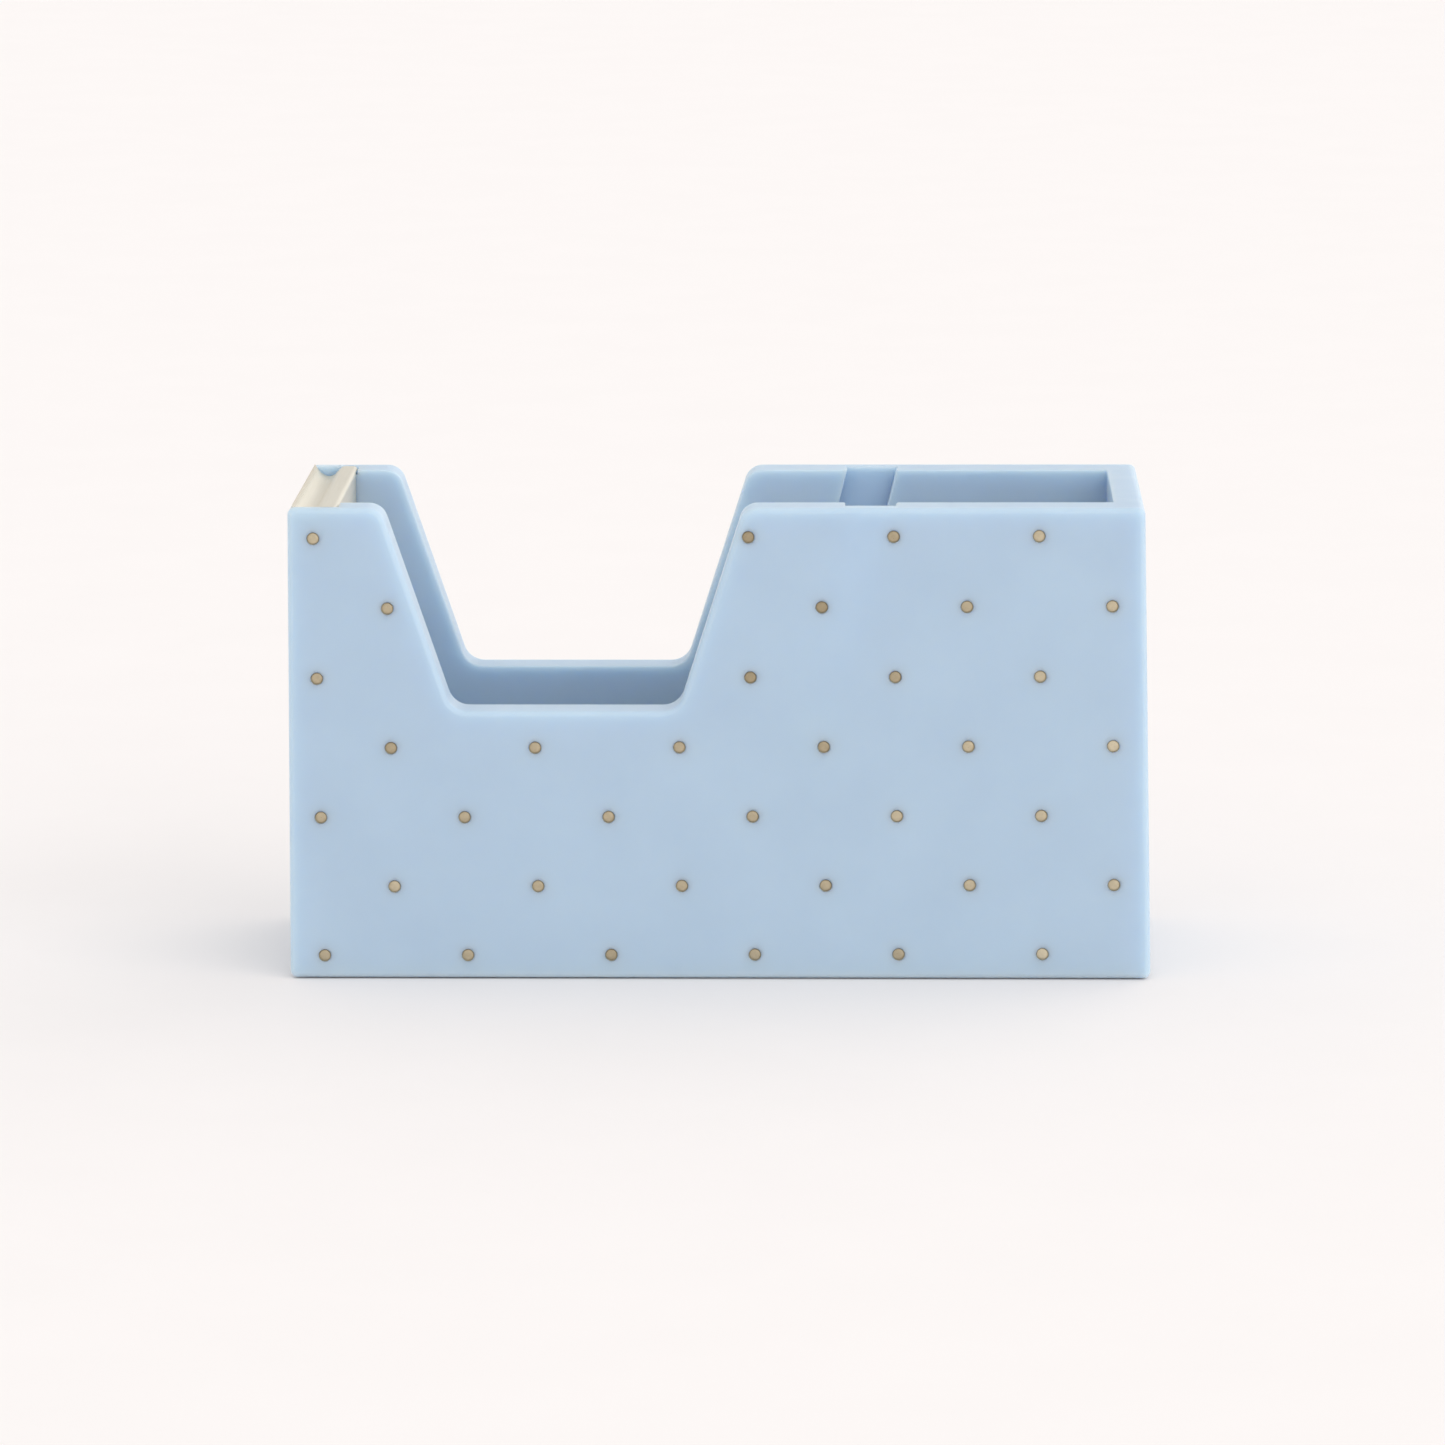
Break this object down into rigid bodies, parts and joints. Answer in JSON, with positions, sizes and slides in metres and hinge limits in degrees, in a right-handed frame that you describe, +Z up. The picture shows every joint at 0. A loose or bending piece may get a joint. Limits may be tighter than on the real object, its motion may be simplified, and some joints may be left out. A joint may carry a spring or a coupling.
{
  "type": "desktop tape dispenser",
  "caption": "Weighted moulded tub with notched side walls, a toothed metal cutter on its nose and a lift-out hub for a tape roll, dotted with small foil discs.",
  "frame": {"origin": "on the table, under the middle of the tub", "axes": "+X from the cutter end to the rear end, +Y from the front wall to the back wall, +Z up"},
  "size_m": [0.148, 0.05, 0.0824],
  "materials": {
    "resin": "satin pale blue moulded resin, slightly translucent",
    "cutter_metal": "satin champagne-toned sheet",
    "dot_foil": "satin gold foil",
    "ballast_iron": "blackened",
    "cover_plastic": "fine grain",
    "pad_foam": "fine-cell foam",
    "screw_steel": "zinc-plated",
    "axle_steel": "ground",
    "sleeve_plastic": "smooth",
    "hub_plastic": "smooth moulded"
  },
  "bodies": {
    "tub": {"tub_body": "resin", "cutter_plate": "cutter_metal", "ballast_plate": "ballast_iron", "base_cover": "cover_plastic", "non_slip_pad": "pad_foam", "base_screw_1": "screw_steel", "base_screw_2": "screw_steel", "base_screw_3": "screw_steel", "base_screw_4": "screw_steel", "cutter_screw_front": "screw_steel", "cutter_screw_back": "screw_steel", "foil_dot_1": "dot_foil", "foil_dot_2": "dot_foil", "foil_dot_3": "dot_foil", "foil_dot_4": "dot_foil", "foil_dot_5": "dot_foil", "foil_dot_6": "dot_foil", "foil_dot_7": "dot_foil", "foil_dot_8": "dot_foil", "foil_dot_9": "dot_foil", "foil_dot_10": "dot_foil", "foil_dot_11": "dot_foil", "foil_dot_12": "dot_foil", "foil_dot_13": "dot_foil", "foil_dot_14": "dot_foil", "foil_dot_15": "dot_foil", "foil_dot_16": "dot_foil", "foil_dot_17": "dot_foil", "foil_dot_18": "dot_foil", "foil_dot_19": "dot_foil", "foil_dot_20": "dot_foil", "foil_dot_21": "dot_foil", "foil_dot_22": "dot_foil", "foil_dot_23": "dot_foil", "foil_dot_24": "dot_foil", "foil_dot_25": "dot_foil", "foil_dot_26": "dot_foil", "foil_dot_27": "dot_foil", "foil_dot_28": "dot_foil", "foil_dot_29": "dot_foil", "foil_dot_30": "dot_foil", "foil_dot_31": "dot_foil", "foil_dot_32": "dot_foil", "foil_dot_33": "dot_foil", "foil_dot_34": "dot_foil", "foil_dot_35": "dot_foil", "foil_dot_36": "dot_foil"},
    "axle": {"axle_rod": "axle_steel", "axle_sleeve_front": "sleeve_plastic", "axle_sleeve_back": "sleeve_plastic"},
    "hub": {"hub_front_half": "hub_plastic", "hub_back_half": "hub_plastic"}
  },
  "joints": [
    {"name": "axle_lift", "type": "slide", "parent": "tub", "child": "axle", "axis": [0.2419, 0, 0.9703], "range_m": [0, 0.06]},
    {"name": "hub_spin", "type": "hinge", "parent": "axle", "child": "hub", "pos_m": [0.01653, 0, 0.044], "axis": [0, 1, 0], "continuous": true}
  ]
}
